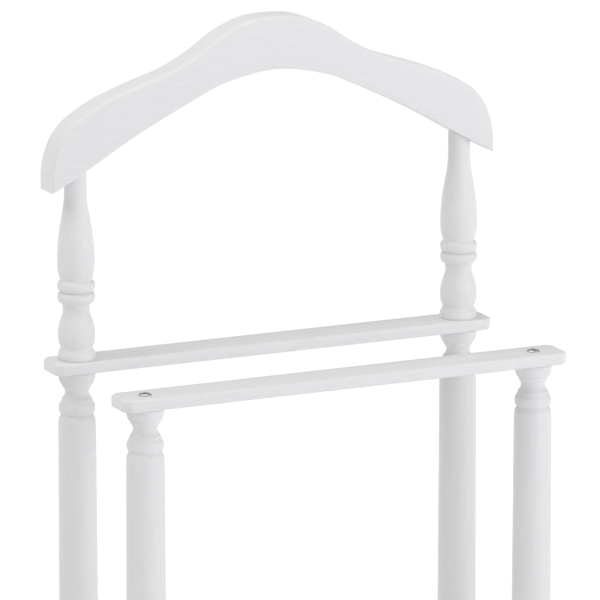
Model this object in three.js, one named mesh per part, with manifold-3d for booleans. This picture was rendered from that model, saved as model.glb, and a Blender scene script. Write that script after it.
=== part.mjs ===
// Valet stand: a turned four-post frame with a trouser bar in front, a rear rail that carries
// two spindles and an arched hanger, and a slatted shoe rack on two runners.
// Millimetres, +Z up, front towards -Y, origin on the floor under the middle of the stand.
import * as THREE from "three";
import { mergeVertices } from "three/addons/utils/BufferGeometryUtils.js";
import Module from "manifold-3d";

const wasm = await Module();
wasm.setup();

const gap = 0.3;

// Layout of the four posts
const postSpacing = 400;
const postDepth = 157;
const postX = postSpacing / 2;
const postY = postDepth / 2;

// Flat stock shared by the trouser bar, the rear rail and the rack slats
const barLength = 456;
const barWidth = 40;
const barThickness = 11;
const barClip = 6.5;
const barEase = 1.2;
const barTop = 755;
const barUnder = barTop - barThickness;

// Base, from the floor upwards
const glideHeight = 2.5;
const glideRadius = 11;
const footHeight = 32;
const footBottom = glideHeight + gap;
const footTop = footBottom + footHeight;
const footY = 128;
const runnerLength = 306;
const runnerWidth = 42;
const runnerThickness = 28;
const runnerBottom = footTop + gap;
const runnerTop = runnerBottom + runnerThickness;
const slatBottom = runnerTop + gap;
const slatTop = slatBottom + barThickness;
const slatRows = [-128, -27, 27, 128];

// Posts
const postBottom = runnerTop + gap;
const postTop = barUnder - gap;
const shaftRadius = 17.6;
const shaftSwell = 0.6;
const headHeight = 66;
const postHoleDepth = 40;

// Hanger, measured from the top of the rear rail
const hangerHalf = 229.5;
const hangerThickness = 31;
const hangerRound = 3.5;
const hangerCrest = 313;
const hangerArch = 262.3;
const archHalf = 90;
const archSpring = 237.3;
const tipHeight = 162;

// Spindles, measured from the top of the rear rail
const tenonRadius = 10.3;
const tenonTop = 206;
const socketRadius = tenonRadius + gap;
const socketTop = tenonTop + gap;

// Fasteners
const studRadius = 4;
const studInSpindle = 38;
const studInPost = 28;
const insertHeight = 20;
const studInsertRadius = 6;
const boltRadius = 3;
const boltInsertRadius = 5;
const boltHeadRadius = 6.2;
const boltHeadHeight = 2.8;
const boltInPost = 24;
const hexAcross = 4;
const hexDepth = 2.4;
const counterboreRadius = 8;
const counterboreDepth = 9;
const footStudInFoot = 14;
const footStudInRunner = 12;
const screwRadius = 2;
const screwHeadRadius = 5;
const screwHeadHeight = 2.3;
const screwInRunner = 12;

const turnedSides = 24;
const smallSides = 10;

const lacquer = { color: 0xeceeef, roughness: 0.35, metalness: 0 };
const chrome = { color: 0xd8dadd, roughness: 0.08, metalness: 1 };
const zinc = { color: 0xb4b7ba, roughness: 0.35, metalness: 1 };
const brass = { color: 0xc2a25a, roughness: 0.3, metalness: 1 };
const nylon = { color: 0xd9d8d3, roughness: 0.6, metalness: 0 };

const stand = new THREE.Group();
stand.name = "valet_stand";

function place(name, geometry, finish, x, y, z) {
  const mesh = new THREE.Mesh(geometry, new THREE.MeshStandardMaterial(finish));
  mesh.name = name;
  mesh.position.set(x, y, z);
  stand.add(mesh);
  return mesh;
}

// A turned solid about Z. The points are [radius, height], from the lower axis point or round a ring.
function turned(points, sides) {
  const profile = points.map(([radius, height]) => new THREE.Vector2(radius, height));
  return new THREE.LatheGeometry(profile, sides).rotateX(Math.PI / 2);
}

function solidFrom(geometry) {
  const bare = geometry.clone();
  bare.deleteAttribute("normal");
  bare.deleteAttribute("uv");
  const merged = mergeVertices(bare, 1e-4);
  return new wasm.Manifold(
    new wasm.Mesh({
      numProp: 3,
      vertProperties: new Float32Array(merged.attributes.position.array),
      triVerts: new Uint32Array(merged.index.array),
    }),
  );
}

function geometryFrom(solid) {
  const cut = solid.getMesh();
  const indexed = new THREE.BufferGeometry();
  indexed.setAttribute("position", new THREE.BufferAttribute(new Float32Array(cut.vertProperties), 3));
  indexed.setIndex(new THREE.BufferAttribute(new Uint32Array(cut.triVerts), 1));
  const flat = indexed.toNonIndexed();
  flat.computeVertexNormals();
  return flat;
}

// Takes the cutters away from a geometry.
function drilled(geometry, cutters) {
  let solid = solidFrom(geometry);
  for (const cutter of cutters) {
    solid = solid.subtract(solidFrom(cutter));
  }
  return geometryFrom(solid);
}

// An upright round or hexagonal cutter between two heights.
function drill(radius, low, high, x, y, sides) {
  const cutter = new THREE.CylinderGeometry(radius, radius, high - low, sides).rotateX(Math.PI / 2);
  return cutter.translate(x, y, (low + high) / 2);
}

// Flat stock with clipped corners and eased edges, its underside at height 0.
function flatStock(length, width, thickness, clip, ease) {
  const halfLength = length / 2;
  const halfWidth = width / 2;
  const corners = [
    [halfLength - clip, -halfWidth],
    [halfLength, -halfWidth + clip],
    [halfLength, halfWidth - clip],
    [halfLength - clip, halfWidth],
    [-halfLength + clip, halfWidth],
    [-halfLength, halfWidth - clip],
    [-halfLength, -halfWidth + clip],
    [-halfLength + clip, -halfWidth],
  ];
  const outline = new THREE.Shape(corners.map(([x, y]) => new THREE.Vector2(x, y)));
  const stock = new THREE.ExtrudeGeometry(outline, {
    depth: thickness - 2 * ease,
    bevelThickness: ease,
    bevelSize: ease,
    bevelOffset: -ease,
    bevelSegments: 2,
  });
  return stock.translate(0, 0, ease);
}

// The turned end of a post, as [radius, distance from the end]: cup, neck, bulb and shoulder.
const headProfile = [
  [16.4, 0],
  [17.3, 2.6],
  [17, 5.7],
  [16.1, 8.6],
  [14.5, 11.7],
  [14.1, 13.4],
  [13.5, 14.8],
  [11.5, 17.6],
  [11.1, 20.4],
  [12, 23.7],
  [14.2, 26.6],
  [14.5, 28.4],
  [16.2, 31.4],
  [17.1, 35.4],
  [16.9, 38.5],
  [15.2, 41.7],
  [16.7, 44.8],
  [17.4, 48.5],
];

function postGeometry(topHoleRadius, bottomHoleRadius) {
  const length = postTop - postBottom;
  const points = [
    [0, postHoleDepth],
    [bottomHoleRadius, postHoleDepth],
    [bottomHoleRadius, 0],
  ];
  for (const [radius, distance] of headProfile) {
    points.push([radius, distance]);
  }
  const shaftSteps = 4;
  for (let step = 0; step <= shaftSteps; step += 1) {
    const along = step / shaftSteps;
    const height = headHeight + along * (length - 2 * headHeight);
    points.push([shaftRadius + shaftSwell * Math.sin(Math.PI * along), height]);
  }
  for (const [radius, distance] of headProfile.slice().reverse()) {
    points.push([radius, length - distance]);
  }
  points.push([topHoleRadius, length]);
  points.push([topHoleRadius, length - postHoleDepth]);
  points.push([0, length - postHoleDepth]);
  return turned(points, turnedSides);
}

// The spindle above the rail: base bead, ball, neck, two beads, vase and a long plain tenon.
const spindleProfile = [
  [14.6, 0],
  [17, 1.8],
  [17.5, 4.2],
  [16.6, 7.6],
  [14.8, 12],
  [16.5, 15.8],
  [17.3, 20.5],
  [17.2, 27.5],
  [16.2, 33.2],
  [14.2, 39.8],
  [12.7, 43.8],
  [12.5, 50],
  [14.3, 53.8],
  [17.2, 57.4],
  [17.6, 60],
  [15.4, 64.8],
  [17.3, 67.8],
  [17.6, 70.6],
  [15.1, 76],
  [15.1, 78.2],
  [16.7, 83.4],
  [17.4, 92],
  [17.4, 99],
  [16.6, 111],
  [15.4, 122],
  [13.4, 134.4],
  [11.9, 142.6],
  [10.8, 150.6],
  [tenonRadius, 158],
];

function spindleGeometry() {
  const holeRadius = studRadius + gap;
  const holeDepth = studInSpindle + gap;
  const points = [
    [0, holeDepth],
    [holeRadius, holeDepth],
    [holeRadius, 0],
    ...spindleProfile,
    [tenonRadius, tenonTop - 1.5],
    [tenonRadius - 1.5, tenonTop],
    [0, tenonTop],
  ];
  return turned(points, turnedSides);
}

// The hanger's front view, its heights measured from the rail top. The right half of the upper edge
// is listed, and the left half mirrors it.
function hangerGeometry() {
  const upperRight = [
    [22, 311.7],
    [44, 304.9],
    [66, 293.2],
    [88, 278.6],
    [112, 267.2],
    [146, 256.2],
    [178, 244.4],
    [202, 232.8],
    [216, 219.6],
    [225, 203],
    [hangerHalf, 180],
  ];
  const upperEdge = [
    ...upperRight.map(([x, z]) => new THREE.Vector2(-x, z)).reverse(),
    new THREE.Vector2(0, hangerCrest),
    ...upperRight.map(([x, z]) => new THREE.Vector2(x, z)),
  ];
  const outline = new THREE.Shape();
  outline.moveTo(-hangerHalf, tipHeight);
  outline.lineTo(upperEdge[0].x, upperEdge[0].y);
  outline.splineThru(upperEdge.slice(1));
  outline.lineTo(hangerHalf, tipHeight);
  outline.lineTo(archHalf, archSpring);
  outline.bezierCurveTo(56, 255.8, 32, hangerArch, 0, hangerArch);
  outline.bezierCurveTo(-32, hangerArch, -56, 255.8, -archHalf, archSpring);
  outline.closePath();
  const blank = new THREE.ExtrudeGeometry(outline, {
    depth: hangerThickness - 2 * hangerRound,
    curveSegments: 3,
    bevelThickness: hangerRound,
    bevelSize: hangerRound,
    bevelOffset: -hangerRound,
    bevelSegments: 3,
  });
  blank.rotateX(Math.PI / 2).translate(0, hangerThickness / 2 - hangerRound, 0);
  const sockets = [-postX, postX].map((x) => drill(socketRadius, 120, socketTop, x, 0, turnedSides));
  return drilled(blank, sockets);
}

// A domed head bolt or screw, its head's underside at height 0 and its shank below it.
function domedBolt(headRadius, headHeight, shankRadius, shankLength, hex, hexDeep) {
  const points = [
    [0, -shankLength],
    [shankRadius - 0.8, -shankLength],
    [shankRadius, -shankLength + 1.2],
    [shankRadius, 0],
    [headRadius - 0.2, 0],
    [headRadius, 0.5],
  ];
  const domeSteps = 3;
  for (let step = 1; step <= domeSteps; step += 1) {
    const angle = (step / domeSteps) * (Math.PI / 2);
    points.push([headRadius * Math.cos(angle), 0.5 + (headHeight - 0.5) * Math.sin(angle)]);
  }
  points[points.length - 1][0] = 0;
  const socket = drill(hex / Math.sqrt(3), headHeight - hexDeep, headHeight + 1, 0, 0, 6);
  return drilled(turned(points, 12), [socket]);
}

function ring(innerRadius, outerRadius, height) {
  return turned(
    [
      [innerRadius, 0],
      [outerRadius, 0],
      [outerRadius, height],
      [innerRadius, height],
      [innerRadius, 0],
    ],
    smallSides,
  );
}

function rod(radius, length) {
  return turned(
    [
      [0, 0],
      [radius - 0.8, 0],
      [radius, 0.8],
      [radius, length - 0.8],
      [radius - 0.8, length],
      [0, length],
    ],
    smallSides,
  );
}

function runnerGeometry() {
  const blank = flatStock(runnerLength, runnerWidth, runnerThickness, barClip, 1.6).rotateZ(Math.PI / 2);
  const cutters = [];
  for (const y of [-postY, postY]) {
    cutters.push(drill(boltRadius + 0.4, -1, runnerThickness + 1, 0, y, smallSides));
    cutters.push(drill(counterboreRadius, -1, counterboreDepth, 0, y, smallSides));
  }
  for (const y of [-footY, footY]) {
    cutters.push(drill(studRadius + gap, -1, footStudInRunner + gap, 0, y, smallSides));
  }
  for (const y of slatRows) {
    const low = runnerThickness - screwInRunner - gap;
    cutters.push(drill(screwRadius + gap, low, runnerThickness + 1, 0, y, smallSides));
  }
  return drilled(blank, cutters);
}

function footGeometry() {
  const holeRadius = studRadius + gap;
  const holeLow = footHeight - footStudInFoot - gap;
  const points = [
    [0, 0],
    [12.5, 0],
    [14.5, 2.5],
    [17.4, 8],
    [18.6, 13.5],
    [17.6, 19],
    [14.4, 23],
    [14.2, 24.6],
    [16.4, 26.4],
    [17, 29],
    [16.2, footHeight],
    [holeRadius, footHeight],
    [holeRadius, holeLow],
    [0, holeLow],
  ];
  return turned(points, turnedSides);
}

function glideGeometry() {
  return turned(
    [
      [0, 0],
      [glideRadius - 1, 0],
      [glideRadius, 1],
      [glideRadius, glideHeight],
      [0, glideHeight],
    ],
    16,
  );
}

const sides = [
  ["left", -postX],
  ["right", postX],
];

// Top: hanger and spindles on the rear rail
place("hanger", hangerGeometry(), lacquer, 0, postY, barTop);
const railBlank = flatStock(barLength, barWidth, barThickness, barClip, barEase);
const railHoles = sides.map(([, x]) => drill(studRadius + 0.4, -1, barThickness + 1, x, 0, smallSides));
place("rear_rail", drilled(railBlank, railHoles), lacquer, 0, postY, barUnder);
const trouserBlank = flatStock(barLength, barWidth, barThickness, barClip, barEase);
const trouserHoles = sides.map(([, x]) => drill(boltRadius + 0.4, -1, barThickness + 1, x, 0, smallSides));
place("trouser_bar", drilled(trouserBlank, trouserHoles), lacquer, 0, -postY, barUnder);

for (const [side, x] of sides) {
  place(`spindle_${side}`, spindleGeometry(), lacquer, x, postY, barTop + gap);
  const studLength = studInSpindle + gap + barThickness + gap + studInPost;
  place(`spindle_stud_${side}`, rod(studRadius, studLength), zinc, x, postY, postTop - studInPost);
  const trouserBolt = domedBolt(
    boltHeadRadius,
    boltHeadHeight,
    boltRadius,
    barThickness + 2 * gap + boltInPost,
    hexAcross,
    hexDepth,
  );
  place(`trouser_bar_bolt_${side}`, trouserBolt, chrome, x, -postY, barTop + gap);

  place(`rear_post_${side}`, postGeometry(studInsertRadius + gap, boltInsertRadius + gap), lacquer, x, postY, postBottom);
  place(`front_post_${side}`, postGeometry(boltInsertRadius + gap, boltInsertRadius + gap), lacquer, x, -postY, postBottom);
  const studInsert = ring(studRadius + gap, studInsertRadius, insertHeight);
  place(`rear_top_insert_${side}`, studInsert, brass, x, postY, postTop - insertHeight - 0.5);
  const boltInsert = ring(boltRadius + gap, boltInsertRadius, insertHeight);
  place(`front_top_insert_${side}`, boltInsert, brass, x, -postY, postTop - insertHeight - 0.5);

  // Base: a runner under each pair of posts
  place(`runner_${side}`, runnerGeometry(), lacquer, x, 0, runnerBottom);
  for (const [end, direction] of [
    ["front", -1],
    ["rear", 1],
  ]) {
    const y = direction * postY;
    const lowInsert = ring(boltRadius + gap, boltInsertRadius, insertHeight);
    place(`${end}_foot_insert_${side}`, lowInsert, brass, x, y, postBottom + 0.5);
    const runnerBolt = domedBolt(
      boltHeadRadius,
      boltHeadHeight,
      boltRadius,
      runnerThickness - counterboreDepth + 2 * gap + boltInPost,
      hexAcross,
      hexDepth,
    ).rotateX(Math.PI);
    place(`${end}_runner_bolt_${side}`, runnerBolt, zinc, x, y, runnerBottom + counterboreDepth - gap);
    place(`${end}_foot_${side}`, footGeometry(), lacquer, x, direction * footY, footBottom);
    const footStud = rod(studRadius, footStudInFoot + gap + footStudInRunner);
    place(`${end}_foot_stud_${side}`, footStud, zinc, x, direction * footY, footTop - footStudInFoot);
    place(`${end}_glide_${side}`, glideGeometry(), nylon, x, direction * footY, 0);
  }
}

// Shoe rack: slats across the runners, each held by a domed screw at either end
slatRows.forEach((y, row) => {
  const blank = flatStock(barLength, barWidth, barThickness, barClip, barEase);
  const holes = sides.map(([, x]) => drill(screwRadius + gap, -1, barThickness + 1, x, 0, smallSides));
  place(`slat_${row + 1}`, drilled(blank, holes), lacquer, 0, y, slatBottom);
  for (const [side, x] of sides) {
    const shank = barThickness + 2 * gap + screwInRunner - 0.5;
    const screw = domedBolt(screwHeadRadius, screwHeadHeight, screwRadius, shank, 3, 1.9);
    place(`slat_${row + 1}_screw_${side}`, screw, chrome, x, y, slatTop + gap);
  }
});

export default stand;
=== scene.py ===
import bpy
import math
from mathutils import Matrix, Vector


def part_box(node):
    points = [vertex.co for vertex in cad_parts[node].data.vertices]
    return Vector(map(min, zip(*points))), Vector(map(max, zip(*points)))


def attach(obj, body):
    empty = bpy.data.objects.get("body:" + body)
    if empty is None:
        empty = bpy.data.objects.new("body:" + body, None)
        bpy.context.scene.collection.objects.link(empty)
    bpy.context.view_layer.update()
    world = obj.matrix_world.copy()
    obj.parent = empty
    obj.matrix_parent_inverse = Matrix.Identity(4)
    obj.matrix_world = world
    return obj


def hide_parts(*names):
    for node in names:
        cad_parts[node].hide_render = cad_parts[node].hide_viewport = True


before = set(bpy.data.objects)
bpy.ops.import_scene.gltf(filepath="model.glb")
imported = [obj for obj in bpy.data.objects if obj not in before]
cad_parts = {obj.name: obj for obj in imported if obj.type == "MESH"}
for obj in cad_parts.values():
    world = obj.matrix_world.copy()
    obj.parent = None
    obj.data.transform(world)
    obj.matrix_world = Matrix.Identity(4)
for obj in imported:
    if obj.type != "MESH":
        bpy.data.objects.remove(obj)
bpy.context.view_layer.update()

mm = 0.001
fullTurn = 2 * math.pi
speck = 0.002  # size of the plane that an outline's first point is merged from
overshoot = 0.005  # how far a cutter runs past a face it goes through
tiny = 0.000001
turnedCrease = 28  # on turned pieces, an edge sharper than this stays sharp; in degrees
slatRows = (1, 2, 3, 4)
scene = bpy.context.scene
print("frame loaded:", len(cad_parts), "nodes")


def clearSelection():
    active = bpy.context.view_layer.objects.active
    if active and active.mode != "OBJECT":
        bpy.ops.object.mode_set(mode="OBJECT")
    bpy.ops.object.select_all(action="DESELECT")


def pick(piece):
    clearSelection()
    piece.select_set(True)
    bpy.context.view_layer.objects.active = piece


def editOn(piece):
    pick(piece)
    bpy.ops.object.mode_set(mode="EDIT")
    bpy.ops.mesh.select_all(action="SELECT")


def editOff():
    bpy.ops.object.mode_set(mode="OBJECT")


def selectEdges(piece, wanted):
    # wanted(a, b) says whether the edge between two points is taken
    pick(piece)
    bpy.ops.object.mode_set(mode="EDIT")
    bpy.ops.mesh.select_mode(type="EDGE")
    bpy.ops.mesh.select_all(action="DESELECT")
    editOff()
    points = piece.data.vertices
    for edge in piece.data.edges:
        edge.select = wanted(points[edge.vertices[0]].co, points[edge.vertices[1]].co)
    bpy.ops.object.mode_set(mode="EDIT")


def tidyMesh(piece, closeness=0.01 * mm):
    editOn(piece)
    bpy.ops.mesh.remove_doubles(threshold=closeness)
    bpy.ops.mesh.select_all(action="SELECT")
    bpy.ops.mesh.normals_make_consistent(inside=False)
    editOff()


def smooth(piece, degrees=35):
    pick(piece)
    bpy.ops.object.shade_smooth_by_angle(angle=math.radians(degrees))


def boxMiddle(node):
    low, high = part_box(node)
    return (low + high) / 2


def finishPiece(piece, name, material, slotName, *nodes):
    piece.name = name
    piece.data.name = name
    piece.data.materials.clear()
    piece.data.materials.append(material)
    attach(piece, "root")
    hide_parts(*nodes)


def copyTo(piece, shift):
    # a copy with its own mesh, its place kept in the mesh
    pick(piece)
    bpy.ops.object.duplicate(linked=False)
    twin = bpy.context.view_layer.objects.active
    editOn(twin)
    bpy.ops.transform.translate(value=shift)
    editOff()
    return twin


def smoothLine(keys, step):
    # an even, rounded line through the keys; a key with a third value True stays a sharp corner
    runs, run = [], [keys[0]]
    for key in keys[1:]:
        run.append(key)
        if len(key) > 2 and key[2]:
            runs.append(run)
            run = [key]
    if len(run) > 1:
        runs.append(run)
    line = [Vector((keys[0][0], keys[0][1]))]
    for run in runs:
        points = [Vector((key[0], key[1])) for key in run]
        ends = [points[0] * 2 - points[1]] + points + [points[-1] * 2 - points[-2]]
        for index in range(1, len(ends) - 2):
            before, start, stop, after = ends[index - 1:index + 3]
            span = (stop - start).length
            if span < tiny:
                continue
            knot = [0.0]
            for a, b in ((before, start), (start, stop), (stop, after)):
                knot.append(knot[-1] + max((b - a).length, tiny) ** 0.5)
            count = max(1, math.ceil(span / step))
            for k in range(1, count + 1):
                t = knot[1] + (knot[2] - knot[1]) * k / count
                a1 = before.lerp(start, (t - knot[0]) / (knot[1] - knot[0]))
                a2 = start.lerp(stop, (t - knot[1]) / (knot[2] - knot[1]))
                a3 = stop.lerp(after, (t - knot[2]) / (knot[3] - knot[2]))
                b1 = a1.lerp(a2, (t - knot[0]) / (knot[2] - knot[0]))
                b2 = a2.lerp(a3, (t - knot[1]) / (knot[3] - knot[1]))
                line.append(b1.lerp(b2, (t - knot[1]) / (knot[2] - knot[1])))
    return line


def drawLine(line, place):
    # a new mesh with one chain of edges along the line; place(point) gives each point's position
    clearSelection()
    bpy.ops.mesh.primitive_plane_add(size=speck, location=place(line[0]))
    piece = bpy.context.active_object
    bpy.ops.object.transform_apply(location=True)
    bpy.ops.object.mode_set(mode="EDIT")
    bpy.ops.mesh.select_mode(type="VERT")
    bpy.ops.mesh.select_all(action="SELECT")
    bpy.ops.mesh.merge(type="CENTER")
    for before, after in zip(line, line[1:]):
        step = place(after) - place(before)
        bpy.ops.mesh.extrude_region_move(TRANSFORM_OT_translate={"value": step})
    bpy.ops.mesh.select_all(action="SELECT")
    return piece


def turnedPiece(line, centre, base, sides):
    # line holds (radius, height above base) in millimetres; it is spun round the upright through centre
    piece = drawLine(line, lambda point: Vector((centre.x + point[0] * mm, centre.y, base + point[1] * mm)))
    bpy.ops.mesh.spin(steps=sides, angle=fullTurn, center=(centre.x, centre.y, 0), axis=(0, 0, 1))
    editOff()
    tidyMesh(piece)
    return piece


def drill(piece, radius, low, high, x, y, sides=48):
    # a round or hexagonal hole cut by a boolean that is applied
    clearSelection()
    bpy.ops.mesh.primitive_cylinder_add(
        vertices=sides, radius=radius, depth=high - low, location=(x, y, (low + high) / 2)
    )
    cutter = bpy.context.active_object
    bpy.ops.object.transform_apply(location=True)
    pick(piece)
    cut = piece.modifiers.new("hole", "BOOLEAN")
    cut.operation = "DIFFERENCE"
    cut.solver = "EXACT"
    cut.object = cutter
    bpy.ops.object.modifier_apply(modifier=cut.name)
    bpy.data.objects.remove(cutter, do_unlink=True)


def socket(group, name, kind, way, value=None):
    made = group.interface.new_socket(name=name, in_out=way, socket_type=kind)
    if value is not None:
        made.default_value = value
    return made


def startGroup(name):
    # both finishes take a point and their tones, and give colour, roughness and height
    group = bpy.data.node_groups.new(name, "ShaderNodeTree")
    socket(group, "Point", "NodeSocketVector", "INPUT")
    socket(group, "Tone", "NodeSocketColor", "INPUT", (0.8, 0.8, 0.8, 1))
    socket(group, "Shade", "NodeSocketColor", "INPUT", (0.6, 0.6, 0.6, 1))
    socket(group, "Gloss", "NodeSocketFloat", "INPUT", 0.3)
    socket(group, "Color", "NodeSocketColor", "OUTPUT")
    socket(group, "Roughness", "NodeSocketFloat", "OUTPUT")
    socket(group, "Height", "NodeSocketFloat", "OUTPUT")
    return group, group.nodes.new("NodeGroupInput"), group.nodes.new("NodeGroupOutput")


def noise(group, point, scale, detail):
    texture = group.nodes.new("ShaderNodeTexNoise")
    texture.inputs["Scale"].default_value = scale
    texture.inputs["Detail"].default_value = detail
    group.links.new(point, texture.inputs["Vector"])
    return texture


def mixTones(group, factor, come, leave):
    tint = group.nodes.new("ShaderNodeMix")
    tint.data_type = "RGBA"
    group.links.new(factor, tint.inputs["Factor"])
    group.links.new(come.outputs["Tone"], tint.inputs["A"])
    group.links.new(come.outputs["Shade"], tint.inputs["B"])
    group.links.new(tint.outputs["Result"], leave.inputs["Color"])


def varyGloss(group, factor, swing, come, leave):
    # the gloss wanders by the two values of swing round its middle
    spread = group.nodes.new("ShaderNodeMapRange")
    spread.inputs["To Min"].default_value, spread.inputs["To Max"].default_value = swing
    total = group.nodes.new("ShaderNodeMath")
    total.operation = "ADD"
    total.use_clamp = True
    group.links.new(factor, spread.inputs["Value"])
    group.links.new(spread.outputs["Result"], total.inputs[0])
    group.links.new(come.outputs["Gloss"], total.inputs[1])
    group.links.new(total.outputs["Value"], leave.inputs["Roughness"])


# a noise is given by its scale and detail, a range or swing by its two ends
woodPattern = {
    "cloud": (9, 3),
    "cloudRange": (0.35, 0.7),
    "peel": (620, 2),
    "peelShare": 0.35,
    "grain": (1, 5),
    "grainRoughness": 0.62,
    "gloss": (34, 4),
    "glossSwing": (-0.05, 0.07),
}
metalPattern = {"smudge": (260, 4), "scratch": (2400, 2), "glossSwing": (-0.03, 0.09)}


def paintedWoodGroup():
    # brushed lacquer over wood: a faint grain showing through, a slight orange peel and a little tone change
    pattern = woodPattern
    group, come, leave = startGroup("paintedWood")
    point = come.outputs["Point"]
    cloud = noise(group, point, *pattern["cloud"])
    cloudRange = group.nodes.new("ShaderNodeMapRange")
    cloudRange.inputs["From Min"].default_value = pattern["cloudRange"][0]
    cloudRange.inputs["From Max"].default_value = pattern["cloudRange"][1]
    group.links.new(cloud.outputs["Fac"], cloudRange.inputs["Value"])
    mixTones(group, cloudRange.outputs["Result"], come, leave)
    glossNoise = noise(group, point, *pattern["gloss"])
    varyGloss(group, glossNoise.outputs["Fac"], pattern["glossSwing"], come, leave)

    peel = noise(group, point, *pattern["peel"])
    grain = noise(group, point, *pattern["grain"])
    grain.inputs["Roughness"].default_value = pattern["grainRoughness"]
    height = group.nodes.new("ShaderNodeMath")
    height.operation = "MULTIPLY_ADD"
    height.inputs[1].default_value = pattern["peelShare"]
    group.links.new(peel.outputs["Fac"], height.inputs[0])
    group.links.new(grain.outputs["Fac"], height.inputs[2])
    group.links.new(height.outputs["Value"], leave.inputs["Height"])
    return group


def metalGroup():
    # plated or machined metal: fine scratches, smudges and a slight tone change
    group, come, leave = startGroup("workedMetal")
    point = come.outputs["Point"]
    smudge = noise(group, point, *metalPattern["smudge"])
    mixTones(group, smudge.outputs["Fac"], come, leave)
    varyGloss(group, smudge.outputs["Fac"], metalPattern["glossSwing"], come, leave)
    scratch = noise(group, point, *metalPattern["scratch"])
    group.links.new(scratch.outputs["Fac"], leave.inputs["Height"])
    return group


woodGroup = paintedWoodGroup()
metalSurface = metalGroup()


def makeMaterial(name, group, values):
    # stretch is the pattern's scale along x y z; bump and depth set the relief; shader holds its own inputs
    material = bpy.data.materials.new(name)
    material.use_nodes = True
    nodes, links = material.node_tree.nodes, material.node_tree.links
    shader = nodes["Principled BSDF"]
    place = nodes.new("ShaderNodeTexCoord")
    stretched = nodes.new("ShaderNodeMapping")
    stretched.inputs["Scale"].default_value = values["stretch"]
    surface = nodes.new("ShaderNodeGroup")
    surface.node_tree = group
    surface.inputs["Tone"].default_value = (*values["tone"], 1)
    surface.inputs["Shade"].default_value = (*values["shade"], 1)
    surface.inputs["Gloss"].default_value = values["gloss"]
    bump = nodes.new("ShaderNodeBump")
    bump.inputs["Strength"].default_value = values["bump"]
    bump.inputs["Distance"].default_value = values["depth"]
    links.new(place.outputs["Object"], stretched.inputs["Vector"])
    links.new(stretched.outputs["Vector"], surface.inputs["Point"])
    links.new(surface.outputs["Color"], shader.inputs["Base Color"])
    links.new(surface.outputs["Roughness"], shader.inputs["Roughness"])
    links.new(surface.outputs["Height"], bump.inputs["Height"])
    links.new(bump.outputs["Normal"], shader.inputs["Normal"])
    for key, value in values["shader"].items():
        shader.inputs[key].default_value = value
    return material


lacquerLook = {
    "tone": (0.83, 0.835, 0.84),
    "shade": (0.80, 0.806, 0.812),
    "gloss": 0.4,
    "bump": 0.018,
    "depth": 0.00005,
    "shader": {"Specular IOR Level": 0.42, "Coat Weight": 0.08, "Coat Roughness": 0.25},
}
# the grain is drawn out along each piece's length
barLacquer = makeMaterial("whiteLacquerAlongX", woodGroup, {**lacquerLook, "stretch": (3, 60, 60)})
runnerLacquer = makeMaterial("whiteLacquerAlongY", woodGroup, {**lacquerLook, "stretch": (60, 3, 60)})
postLacquer = makeMaterial("whiteLacquerAlongZ", woodGroup, {**lacquerLook, "stretch": (60, 60, 3)})
chrome = makeMaterial("chrome", metalSurface, {
    "tone": (0.64, 0.65, 0.66), "shade": (0.54, 0.55, 0.56), "gloss": 0.05, "stretch": (1, 1, 1),
    "bump": 0.05, "depth": 0.00005, "shader": {"Metallic": 1.0},
})
zinc = makeMaterial("zincPlate", metalSurface, {
    "tone": (0.66, 0.67, 0.68), "shade": (0.52, 0.54, 0.57), "gloss": 0.28, "stretch": (1, 1, 1),
    "bump": 0.1, "depth": 0.00005, "shader": {"Metallic": 1.0},
})
brass = makeMaterial("machinedBrass", metalSurface, {
    "tone": (0.80, 0.60, 0.26), "shade": (0.66, 0.46, 0.18), "gloss": 0.22, "stretch": (1, 1, 1),
    "bump": 0.1, "depth": 0.00005, "shader": {"Metallic": 1.0},
})
nylon = makeMaterial("nylon", metalSurface, {
    "tone": (0.62, 0.61, 0.58), "shade": (0.54, 0.53, 0.50), "gloss": 0.5, "stretch": (0.6, 0.6, 0.6),
    "bump": 0.2, "depth": 0.0001, "shader": {"Metallic": 0.0},
})
print("finishes ready")


# posts, all four turned alike
postShape = {
    "sides": 96,
    # radius and distance from the post's end, in millimetres
    "head": [
        (16.6, 0), (17.3, 1.8), (17.45, 3.8), (17.2, 5.9), (16.5, 8.5), (15.9, 10.3), (15.6, 11.3, True),
        (13.8, 11.9, True), (13.8, 13.2), (13.4, 14.8), (12.4, 16.2), (11.5, 17.6), (11.15, 19.2, True),
        (11.1, 21.0), (11.4, 22.3), (12.1, 23.8), (13.2, 25.2), (14.2, 26.6, True), (14.4, 28.2, True),
        (15.1, 29.7), (16.1, 31.2), (16.8, 33), (17.1, 35.6), (16.95, 37.6), (16.6, 39), (15.9, 40.2),
        (14.8, 41.6, True), (15.8, 43.1), (16.7, 44.8), (17.15, 46.4), (17.4, 48.5),
    ],
    "shaft": 17.6,
    "swell": 0.6,
    "lacquer": 0.25,
    "headHeight": 66,
    "endEase": (0.8, 0.7),  # how far the rim of each end is eased, across and up
    "step": 1.2,
    "shaftSteps": 8,
    "plainFrom": 70,  # from here on the shaft needs few rings
    "ringRoom": 12,
    "holeDepth": 40,
    "boltHole": 5.3,
    "studHole": 6.3,
}


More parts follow.
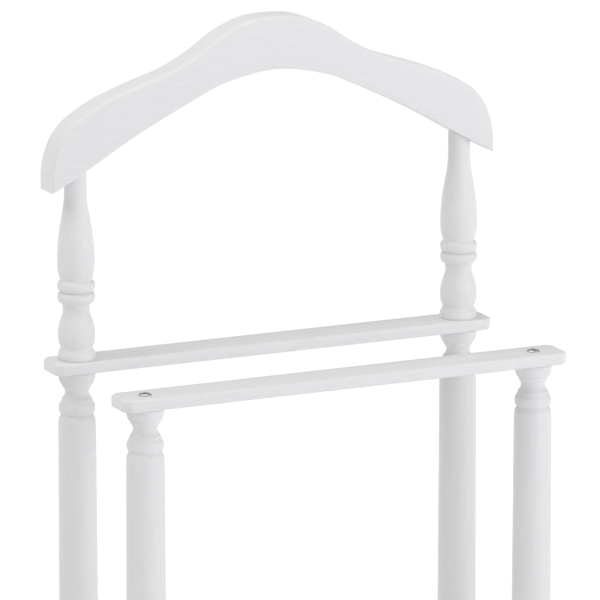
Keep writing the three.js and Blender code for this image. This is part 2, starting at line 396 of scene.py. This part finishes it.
def postLine(length, topHole, bottomHole):
    # from the bottom hole round the turned foot, shaft and head to the top hole
    shape = postShape
    depth, lacquer = shape["holeDepth"], shape["lacquer"]
    easeAcross, easeUp = shape["endEase"]
    rim = shape["head"][0][0] + lacquer
    head = [(rim, easeUp)] + [(key[0] + lacquer, *key[1:]) for key in shape["head"][1:]]
    keys = [(0.0, depth), (bottomHole, depth, True), (bottomHole, 0, True), (rim - easeAcross, 0, True)]
    keys += head
    for step in range(shape["shaftSteps"] + 1):
        along = step / shape["shaftSteps"]
        radius = shape["shaft"] + lacquer + shape["swell"] * math.sin(math.pi * along)
        keys.append((radius, shape["headHeight"] + along * (length - 2 * shape["headHeight"])))
    keys += [(key[0], length - key[1], *key[2:]) for key in reversed(head)]
    keys += [(rim - easeAcross, length, True), (topHole, length, True)]
    keys += [(topHole, length - depth, True), (0.0, length - depth, True)]
    return thinShaft(smoothLine(keys, shape["step"]), length)


def thinShaft(line, length):
    # the long plain part of a shaft keeps only a ring every so often
    kept = [line[0]]
    for point in line[1:-1]:
        inShaft = postShape["plainFrom"] < point.y < length - postShape["plainFrom"]
        if not inShaft or (point - kept[-1]).length >= postShape["ringRoom"]:
            kept.append(point)
    kept.append(line[-1])
    return kept


def buildPosts():
    bottomHole = postShape["boltHole"]
    for end, topHole in (("front", postShape["boltHole"]), ("rear", postShape["studHole"])):
        low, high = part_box(f"{end}_post_left")
        middle = boxMiddle(f"{end}_post_left")
        line = postLine((high.z - low.z) / mm, topHole, bottomHole)
        left = turnedPiece(line, middle, low.z, postShape["sides"])
        smooth(left, turnedCrease)
        right = copyTo(left, boxMiddle(f"{end}_post_right") - middle)
        for side, piece in (("left", left), ("right", right)):
            finishPiece(piece, f"{end}Post_{side}", postLacquer, "white_lacquer", f"{end}_post_{side}")


buildPosts()
print("posts turned")


# spindles between the rear rail and the hanger
spindleShape = {
    "sides": 96,
    # radius and height above the rail, in millimetres
    "line": [
        (16.8, -0.22, True), (17.1, 0.4), (17.4, 1.7), (17.5, 3.2), (17.5, 4.8), (17.1, 6.4), (16.3, 8),
        (15.3, 10), (14.8, 12, True), (15.85, 14), (16.6, 16), (17.1, 18.4), (17.3, 21.5), (17.3, 25.5),
        (17.0, 29), (16.3, 33), (15.3, 36.4), (14.2, 39.8), (13.3, 42.2), (12.7, 44.2), (12.5, 47),
        (12.5, 50, True), (12.7, 52.6, True), (14.7, 54), (16.4, 55.8), (17.3, 57.6), (17.65, 59.8),
        (17.3, 61.8), (16.3, 63.6), (14.6, 64.9, True), (16.3, 66.2), (17.3, 67.8), (17.6, 70.2),
        (17.4, 72.4), (16.5, 74.2), (14.9, 75.9, True), (14.9, 77.2, True), (15.8, 79.6), (16.7, 83.4),
        (17.2, 88), (17.4, 93.5), (17.35, 99), (17.0, 106), (16.5, 112), (15.8, 118.6), (15.0, 124.4),
        (14.2, 129.6), (13.4, 134.4), (12.6, 138.8), (11.9, 142.6), (11.2, 147), (10.7, 151.4),
        (10.4, 156), (10.3, 161),
    ],
    "step": 1.2,
    "lacquer": 0.25,
    "tenon": 10.3,
    "tenonTop": 206,
    "tenonChamfer": 1.5,
    "hole": 4.3,
    "holeDepth": 38.3,
}


def buildSpindles():
    shape = spindleShape
    middle = boxMiddle("spindle_left")
    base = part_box("spindle_left")[0].z
    foot = shape["line"][0][1]
    hole, depth = shape["hole"], shape["holeDepth"]
    keys = [(0.0, depth), (hole, depth, True), (hole, foot, True)]
    keys += [(key[0] + shape["lacquer"], *key[1:]) for key in shape["line"]]
    top, chamfer = shape["tenonTop"], shape["tenonChamfer"]
    keys += [(shape["tenon"], top - chamfer, True), (shape["tenon"] - chamfer, top, True), (0.0, top, True)]
    left = turnedPiece(smoothLine(keys, shape["step"]), middle, base, shape["sides"])
    smooth(left, turnedCrease)
    right = copyTo(left, boxMiddle("spindle_right") - middle)
    for side, piece in (("left", left), ("right", right)):
        finishPiece(piece, f"spindleTurned_{side}", postLacquer, "white_lacquer", f"spindle_{side}")


buildSpindles()
print("spindles turned")


# flat bars: trouser bar, rear rail and rack slats; their corners are clipped, then every edge is eased
barShape = {
    "clip": 6.5,
    "ease": 1.4,
    "easeSteps": 4,
    # hole radii for the bolts, the spindle studs and the rack screws
    "boltHole": 3.4,
    "studHole": 4.4,
    "screwHole": 2.3,
}


def flatBar(node, clip, ease):
    low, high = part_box(node)
    clearSelection()
    bpy.ops.mesh.primitive_cube_add(size=1, location=(low + high) / 2, scale=high - low)
    bar = bpy.context.active_object
    bpy.ops.object.transform_apply(location=True, scale=True)
    near = 0.01 * mm
    selectEdges(bar, lambda a, b: abs(a.x - b.x) < near and abs(a.y - b.y) < near)
    bpy.ops.mesh.bevel(offset=clip * mm, offset_type="OFFSET", segments=1, affect="EDGES")
    editOff()
    selectEdges(bar, lambda a, b: True)
    steps = barShape["easeSteps"]
    bpy.ops.mesh.bevel(offset=ease * mm, offset_type="OFFSET", segments=steps, profile=0.5, affect="EDGES")
    editOff()
    tidyMesh(bar)
    return bar


def drillThrough(bar, node, fastener, radius):
    # a hole at either end of a bar, where its two fasteners are
    low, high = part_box(node)
    for side in ("left", "right"):
        centre = boxMiddle(f"{fastener}_{side}")
        drill(bar, radius * mm, low.z - overshoot, high.z + overshoot, centre.x, centre.y)
    smooth(bar)


def buildBars():
    clip, ease = barShape["clip"], barShape["ease"]
    holes = {
        "trouser_bar": ("trouser_bar_bolt", barShape["boltHole"]),
        "rear_rail": ("spindle_stud", barShape["studHole"]),
    }
    for node, (fastener, radius) in holes.items():
        bar = flatBar(node, clip, ease)
        drillThrough(bar, node, fastener, radius)
        finishPiece(bar, node.replace("_", "") + "Eased", barLacquer, "white_lacquer", node)
    firstSlat = flatBar("slat_1", clip, ease)
    drillThrough(firstSlat, "slat_1", "slat_1_screw", barShape["screwHole"])
    start = boxMiddle("slat_1")
    slats = [firstSlat] + [copyTo(firstSlat, boxMiddle(f"slat_{row}") - start) for row in slatRows[1:]]
    for row, slat in enumerate(slats, 1):
        finishPiece(slat, f"rackSlat_{row}", barLacquer, "white_lacquer", f"slat_{row}")


buildBars()
print("bars ready")


# hanger: distances from the middle, heights above the rail and widths of the rounding, in millimetres
hangerShape = {
    "half": 229,
    "crest": 312.2,
    "arch": 261.9,
    "tip": 161.6,
    "round": 7.5,
    "roundSteps": 12,
    "endRound": 3.5,
    "underRound": 2.5,
    # the bottom of each tip curves up: reach along and up the tip, lift at the faces, and its power
    "tipFrom": 222,
    "tipBand": 12,
    "tipEase": 1.6,
    "tipPower": 2.5,
    # past blendFrom, and between these two heights, the rounding shrinks from the shoulder's to the end's
    "blendFrom": 200,
    "blendTop": 212,
    "blendLow": 186,
    # what lies this close above the lower edge, and no closer than this to an end, is underside
    "underBand": 1.5,
    "endBand": 0.2,
    # spacing of the points along both edges
    "upperStep": 3.5,
    "lowerStep": 4,
    # right half of the upper edge
    "upper": [
        (12, 311.8), (22, 310.7), (33, 308.0), (44, 303.8), (55, 298.3), (66, 291.3), (77, 283.8),
        (88, 277.4), (99, 271.9), (112, 266.4), (128, 261.3), (146, 255.6), (163, 249.6), (178, 243.7),
        (191, 237.0), (201.5, 230.4), (208.6, 225.2), (215.6, 217.5), (221.1, 209.3), (225.2, 199.1),
        (228.0, 188), (229, 178),
    ],
    # right half of the lower edge, from the middle out
    "lower": [
        (12, 261.3), (24, 259.6), (36, 257.1), (48, 254.4), (60, 250.7), (75, 244.2), (90, 237.2),
        (110, 227.7), (128, 218.9), (146, 209.5), (164, 199.5), (182, 188.9), (205, 175.7),
    ],
    # the bored sockets that take the spindles
    "socket": 10.6,
    "socketSides": 64,
    "socketFrom": 120,
    "socketTop": 206.3,
    "closeness": 0.002,
    "crease": 30,
}


def hangerOutline():
    shape = hangerShape
    right, under = shape["upper"], shape["lower"]
    upper = [(-x, z) for x, z in reversed(right)] + [(0, shape["crest"])] + right
    lower = [(x, z) for x, z in reversed(under)] + [(0, shape["arch"])] + [(-x, z) for x, z in under]
    line = smoothLine(upper, shape["upperStep"])
    line.append(Vector((shape["half"], shape["tip"])))
    line += smoothLine(lower, shape["lowerStep"])
    line.append(Vector((-shape["half"], shape["tip"])))
    return line


def underHeight(across):
    # height of the lower edge at a distance from the middle
    shape = hangerShape
    keys = [(0, shape["arch"])] + shape["lower"] + [(shape["half"], shape["tip"])]
    for (x0, z0), (x1, z1) in zip(keys, keys[1:]):
        if x0 <= across <= x1:
            return z0 + (z1 - z0) * (across - x0) / (x1 - x0)
    return shape["tip"]


def edgeRound(across, height):
    # reach of the rounding at a place on the outline: wide on the shoulders, small at the ends and below
    shape = hangerShape
    if height < underHeight(across) + shape["underBand"] and across < shape["half"] - shape["endBand"]:
        return shape["underRound"]
    fade = (height - shape["blendLow"]) / (shape["blendTop"] - shape["blendLow"])
    fade = min(1, max(0, fade)) if across > shape["blendFrom"] else 1
    return shape["endRound"] + (shape["round"] - shape["endRound"]) * fade


def hangerBlank(low, high, railTop):
    # the outline as a face, pushed through the whole thickness
    hanger = drawLine(hangerOutline(), lambda point: Vector((point.x * mm, low.y, railTop + point.y * mm)))
    bpy.ops.mesh.edge_face_add()
    bpy.ops.mesh.select_all(action="SELECT")
    bpy.ops.mesh.extrude_region_move(TRANSFORM_OT_translate={"value": (0, high.y - low.y, 0)})
    editOff()
    tidyMesh(hanger)
    return hanger


def roundHanger(hanger, railTop):
    # the long edges of both faces are rounded, each by its own amount
    shape = hangerShape
    weights = hanger.data.attributes.new("bevel_weight_edge", "FLOAT", "EDGE")
    points = hanger.data.vertices
    for edge in hanger.data.edges:
        a, b = points[edge.vertices[0]].co, points[edge.vertices[1]].co
        if abs(a.y - b.y) < 0.01 * mm:
            middle = (a + b) / 2
            amount = edgeRound(abs(middle.x) / mm, (middle.z - railTop) / mm)
            weights.data[edge.index].value = amount / shape["round"]
    pick(hanger)
    soften = hanger.modifiers.new("soften", "BEVEL")
    soften.limit_method = "WEIGHT"
    soften.offset_type = "OFFSET"
    soften.width = shape["round"] * mm
    soften.segments = shape["roundSteps"]
    soften.profile = 0.5
    bpy.ops.object.modifier_apply(modifier=soften.name)


def easeTips(hanger, low, high, railTop):
    # the bottom of each tip curves up towards both faces
    shape = hangerShape
    middle = (low.y + high.y) / 2
    bandTop = railTop + (shape["tip"] + shape["tipBand"]) * mm
    for point in hanger.data.vertices:
        if abs(point.co.x) > shape["tipFrom"] * mm and point.co.z < bandTop:
            outward = abs(point.co.y - middle) / (high.y - middle)
            point.co.z += shape["tipEase"] * mm * outward ** shape["tipPower"]


def buildHanger():
    shape = hangerShape
    low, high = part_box("hanger")
    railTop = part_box("rear_rail")[1].z
    hanger = hangerBlank(low, high, railTop)
    roundHanger(hanger, railTop)
    easeTips(hanger, low, high, railTop)
    tidyMesh(hanger, shape["closeness"] * mm)
    bottom = railTop + shape["socketFrom"] * mm
    top = railTop + shape["socketTop"] * mm
    for side in ("left", "right"):
        centre = boxMiddle(f"spindle_{side}")
        drill(hanger, shape["socket"] * mm, bottom, top, centre.x, centre.y, shape["socketSides"])
    smooth(hanger, shape["crease"])
    finishPiece(hanger, "hangerRounded", barLacquer, "white_lacquer", "hanger")


buildHanger()
print("hanger ready")


# domed heads with a hexagon socket; radii, heights and widths in millimetres
domeShape = {
    "sides": 64,
    "neck": 0.5,
    "rimEase": 0.25,
    "domeSteps": 10,
    "chamfer": (0.8, 1.2),  # at the shank's end, across and up
    "headroom": 2,  # how far the hexagon's cutter stands above the head
    "crease": 40,
}
# seat is the depth of the head's underside below the part's top
boltShape = {"head": 6.2, "seat": 2.8, "height": 2.0, "shank": 3, "hexAcross": 3.6, "hexDepth": 1.0}
screwShape = {"head": 5, "seat": 2.3, "height": 2.3, "shank": 2, "hexAcross": 3, "hexDepth": 1.9}


def domedBolt(node, shape):
    low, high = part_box(node)
    middle = boxMiddle(node)
    under = high.z - shape["seat"] * mm
    foot = (low.z - under) / mm
    head, shank, neck, ease = shape["head"], shape["shank"], domeShape["neck"], domeShape["rimEase"]
    across, up = domeShape["chamfer"]
    line = [(0, foot), (shank - across, foot), (shank, foot + up), (shank, 0)]
    line += [(head - ease, 0), (head, ease), (head, neck)]
    for step in range(1, domeShape["domeSteps"] + 1):
        angle = step / domeShape["domeSteps"] * math.pi / 2
        line.append((head * math.cos(angle), neck + (shape["height"] - neck) * math.sin(angle)))
    line[-1] = (0, shape["height"])
    bolt = turnedPiece(line, middle, under, domeShape["sides"])
    corner = shape["hexAcross"] / math.sqrt(3) * mm
    top = under + shape["height"] * mm
    bottom = top - shape["hexDepth"] * mm
    drill(bolt, corner, bottom, top + domeShape["headroom"] * mm, middle.x, middle.y, 6)
    smooth(bolt, domeShape["crease"])
    return bolt


def buildFasteners():
    bolt = domedBolt("trouser_bar_bolt_left", boltShape)
    start = boxMiddle("trouser_bar_bolt_left")
    twin = copyTo(bolt, boxMiddle("trouser_bar_bolt_right") - start)
    finishPiece(bolt, "domedBolt_left", chrome, "chrome", "trouser_bar_bolt_left")
    finishPiece(twin, "domedBolt_right", chrome, "chrome", "trouser_bar_bolt_right")
    screw = domedBolt("slat_1_screw_left", screwShape)
    start = boxMiddle("slat_1_screw_left")
    made = [("slat_1_screw_left", screw)]
    for row in slatRows:
        for side in ("left", "right"):
            node = f"slat_{row}_screw_{side}"
            if node != "slat_1_screw_left":
                made.append((node, copyTo(screw, boxMiddle(node) - start)))
    for node, piece in made:
        name = node.replace("slat_", "rackScrew_").replace("_screw_", "_")
        finishPiece(piece, name, chrome, "chrome", node)


buildFasteners()
print("bolts and screws ready")


# base: runners, feet and glides, in millimetres; holes by radius
runnerShape = {
    "clip": 6.5,
    "ease": 1.8,
    "counterbore": 8,
    "counterboreDepth": 9,
    "boltHole": 3.4,
    "studHole": 4.3,
    "studRoom": 0.3,
    "screwHole": 2.3,
    "screwRoom": 0.4,
}
footShape = {
    "sides": 96,
    # radius and height above the foot's underside
    "line": [
        (0, 0), (12.2, 0, True), (12.9, 0.3), (14.2, 1.9), (15.8, 4.6), (17.4, 8), (18.3, 10.8),
        (18.6, 13.5), (18.3, 16.4), (17.4, 19.2), (16, 21.4), (14.6, 22.9, True), (14.2, 23.6),
        (14.3, 24.5, True), (15.6, 25.4), (16.6, 26.8), (17, 28.4), (16.9, 30.2), (16.4, 31.6),
        (15.9, 32, True),
    ],
    "step": 0.9,
    "hole": 4.3,
    "holeDepth": 14.3,
}
glideShape = {
    "sides": 64,
    "line": [(0, 0), (9.6, 0), (10.5, 0.3), (10.9, 1), (11, 1.6), (11, 2.3), (10.8, 2.5), (0, 2.5)],
    "crease": 40,
}


def buildRunners():
    shape = runnerShape
    runner = flatBar("runner_left", shape["clip"], shape["ease"])
    low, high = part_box("runner_left")
    middle = boxMiddle("runner_left")
    under, over = low.z - overshoot, high.z + overshoot
    for end in ("front", "rear"):
        post = boxMiddle(f"{end}_post_left")
        foot = boxMiddle(f"{end}_foot_left")
        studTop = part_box(f"{end}_foot_stud_left")[1].z + shape["studRoom"] * mm
        seat = low.z + shape["counterboreDepth"] * mm
        drill(runner, shape["boltHole"] * mm, under, over, middle.x, post.y)
        drill(runner, shape["counterbore"] * mm, under, seat, middle.x, post.y)
        drill(runner, shape["studHole"] * mm, under, studTop, middle.x, foot.y)
    for row in slatRows:
        node = f"slat_{row}_screw_left"
        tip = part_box(node)[0].z - shape["screwRoom"] * mm
        drill(runner, shape["screwHole"] * mm, tip, over, middle.x, boxMiddle(node).y)
    smooth(runner)
    twin = copyTo(runner, boxMiddle("runner_right") - middle)
    finishPiece(runner, "runnerEased_left", runnerLacquer, "white_lacquer", "runner_left")
    finishPiece(twin, "runnerEased_right", runnerLacquer, "white_lacquer", "runner_right")


def buildFeet():
    low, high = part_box("front_foot_left")
    start = boxMiddle("front_foot_left")
    top = (high.z - low.z) / mm
    hole, bottom = footShape["hole"], top - footShape["holeDepth"]
    keys = footShape["line"] + [(hole, top, True), (hole, bottom, True), (0, bottom, True)]
    foot = turnedPiece(smoothLine(keys, footShape["step"]), start, low.z, footShape["sides"])
    smooth(foot, turnedCrease)
    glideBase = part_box("front_glide_left")[0].z
    glide = turnedPiece(glideShape["line"], boxMiddle("front_glide_left"), glideBase, glideShape["sides"])
    smooth(glide, glideShape["crease"])
    for end in ("front", "rear"):
        for side in ("left", "right"):
            first = end == "front" and side == "left"
            shift = boxMiddle(f"{end}_foot_{side}") - start
            footPiece = foot if first else copyTo(foot, shift)
            glidePiece = glide if first else copyTo(glide, shift)
            footNode, glideNode = f"{end}_foot_{side}", f"{end}_glide_{side}"
            finishPiece(footPiece, f"bunFoot_{end}_{side}", postLacquer, "white_lacquer", footNode)
            finishPiece(glidePiece, f"footGlide_{end}_{side}", nylon, "nylon", glideNode)


buildRunners()
buildFeet()
print("base ready")


# hidden hardware keeps its own solids and only gets a finish
def paintNode(node, material):
    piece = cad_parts[node]
    piece.data.materials.clear()
    piece.data.materials.append(material)


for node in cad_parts:
    if "insert" in node:
        paintNode(node, brass)
    elif "stud" in node or "runner_bolt" in node:
        paintNode(node, zinc)


floorShape = {
    "radius": 400,
    "sides": 96,
    "tone": (0.9, 0.9, 0.9, 1),
    "roughness": 0.6,
    # a tinted glow that grows with the distance from the stand's foot, between these two distances
    "glow": (0.237, 0.248, 0.282),
    "glowReach": (0.6, 2.6),
    # white glows from one distance to another, and their strength; the first two run along backWay only
    "backWay": (0.4289, 0.9034, 0),
    "backGlow": (0.7, 1.7, 0.235),
    "farGlow": (1.7, 5.5, 0.09),
    "horizonGlow": (7, 24, 0.3),
}


def fadeIn(nodes, links, source, start, stop, strength):
    ramp = nodes.new("ShaderNodeMapRange")
    ramp.inputs["From Min"].default_value = start
    ramp.inputs["From Max"].default_value = stop
    ramp.inputs["To Max"].default_value = strength
    links.new(source, ramp.inputs["Value"])
    return ramp.outputs["Result"]


def addUp(nodes, links, one, other):
    total = nodes.new("ShaderNodeMath")
    total.operation = "ADD"
    links.new(one, total.inputs[0])
    links.new(other, total.inputs[1])
    return total.outputs["Value"]


def vectorStep(nodes, operation):
    node = nodes.new("ShaderNodeVectorMath")
    node.operation = operation
    return node


def buildFloor():
    # a pale floor, plain white where it runs off behind the stand
    shape = floorShape
    clearSelection()
    bpy.ops.mesh.primitive_circle_add(vertices=shape["sides"], radius=shape["radius"], fill_type="NGON")
    floor = bpy.context.active_object
    floor.name = "studioFloor"
    material = bpy.data.materials.new("paleFloor")
    material.use_nodes = True
    nodes, links = material.node_tree.nodes, material.node_tree.links
    shader = nodes["Principled BSDF"]
    shader.inputs["Roughness"].default_value = shape["roughness"]
    shader.inputs["Base Color"].default_value = shape["tone"]
    shader.inputs["Emission Strength"].default_value = 1
    place = nodes.new("ShaderNodeTexCoord")
    away = vectorStep(nodes, "LENGTH")
    links.new(place.outputs["Object"], away.inputs[0])
    behind = vectorStep(nodes, "DOT_PRODUCT")
    behind.inputs[1].default_value = shape["backWay"]
    links.new(place.outputs["Object"], behind.inputs[0])

    around = fadeIn(nodes, links, away.outputs["Value"], *shape["glowReach"], 1)
    tint = vectorStep(nodes, "SCALE")
    tint.inputs[0].default_value = shape["glow"]
    links.new(around, tint.inputs["Scale"])
    back = fadeIn(nodes, links, behind.outputs["Value"], *shape["backGlow"])
    far = fadeIn(nodes, links, behind.outputs["Value"], *shape["farGlow"])
    horizon = fadeIn(nodes, links, away.outputs["Value"], *shape["horizonGlow"])
    white = addUp(nodes, links, addUp(nodes, links, back, far), horizon)
    total = vectorStep(nodes, "ADD")
    links.new(tint.outputs["Vector"], total.inputs[0])
    links.new(white, total.inputs[1])
    links.new(total.outputs["Vector"], shader.inputs["Emission Color"])
    floor.data.materials.append(material)


studioShape = {
    "sky": (0.467, 0.460, 0.445, 1),
    "white": (1, 1, 1, 1),
    "horizon": (-0.01, 0.02),
    # place, aim, size, power, tint
    "lights": {
        "keyRight": ((2.6, -2.4, 1.6), (0, 0, 0.8), (1.6, 1.6), 23.9, (0.99, 0.98, 1)),
        "frontLow": ((0.577, -3.275, 1.457), (0, 0, 0.75), (1.3, 1.3), 17.0, (0.912, 0.92, 1)),
        "topSoft": ((-0.2, -0.2, 3.6), (0, 0, 0.8), (2, 2), 16.5, (0.988, 0.985, 1)),
        "topBack": ((0.2, 1.6, 3.4), (0, 0, 0.8), (1.6, 1.6), 10.15, (0.86, 0.85, 1)),
        "leftHigh": ((-2.24, 0.395, 3.277), (0, 0, 0.75), (1.3, 1.3), 26.0, (0.996, 1, 0.933)),
    },
}


def areaLight(name, place, aim, size, power, tint):
    data = bpy.data.lights.new(name, "AREA")
    data.shape = "RECTANGLE"
    data.size, data.size_y = size
    data.energy = power
    data.color = tint
    lamp = bpy.data.objects.new(name, data)
    scene.collection.objects.link(lamp)
    lamp.location = place
    lamp.rotation_mode = "QUATERNION"
    lamp.rotation_quaternion = (Vector(aim) - Vector(place)).to_track_quat("-Z", "Y")


def buildLight():
    # a soft sky above the horizon and plain white below it
    world = bpy.data.worlds.new("studio")
    world.use_nodes = True
    nodes, links = world.node_tree.nodes, world.node_tree.links
    look = nodes.new("ShaderNodeTexCoord")
    split = nodes.new("ShaderNodeSeparateXYZ")
    links.new(look.outputs["Generated"], split.inputs["Vector"])
    rise = fadeIn(nodes, links, split.outputs["Z"], *studioShape["horizon"], 1)
    blend = nodes.new("ShaderNodeMix")
    blend.data_type = "RGBA"
    blend.inputs["A"].default_value = studioShape["white"]
    blend.inputs["B"].default_value = studioShape["sky"]
    links.new(rise, blend.inputs["Factor"])
    links.new(blend.outputs["Result"], nodes["Background"].inputs["Color"])
    scene.world = world
    for name, spot in studioShape["lights"].items():
        areaLight(name, *spot)


# angles in degrees, place and clip in metres, sensor and lens in millimetres
cameraShape = {
    "azimuth": -25.394,
    "elevation": 13.077,
    "place": (-2.57143, -5.40499, 2.1983),
    "sensor": 36,
    "lens": 393.44,
    "clip": (0.1, 200),
}


def buildCamera():
    shape = cameraShape
    data = bpy.data.cameras.new("camera")
    camera = bpy.data.objects.new("camera", data)
    scene.collection.objects.link(camera)
    azimuth, elevation = math.radians(shape["azimuth"]), math.radians(shape["elevation"])
    back = Vector((
        math.sin(azimuth) * math.cos(elevation),
        -math.cos(azimuth) * math.cos(elevation),
        math.sin(elevation),
    ))
    camera.location = shape["place"]
    camera.rotation_mode = "QUATERNION"
    camera.rotation_quaternion = (-back).to_track_quat("-Z", "Y")
    data.sensor_width = shape["sensor"]
    data.lens = shape["lens"]
    data.clip_start, data.clip_end = shape["clip"]
    scene.camera = camera
    scene.view_settings.view_transform = "Standard"
    scene.view_settings.look = "None"


buildFloor()
buildLight()
buildCamera()
print("studio ready")
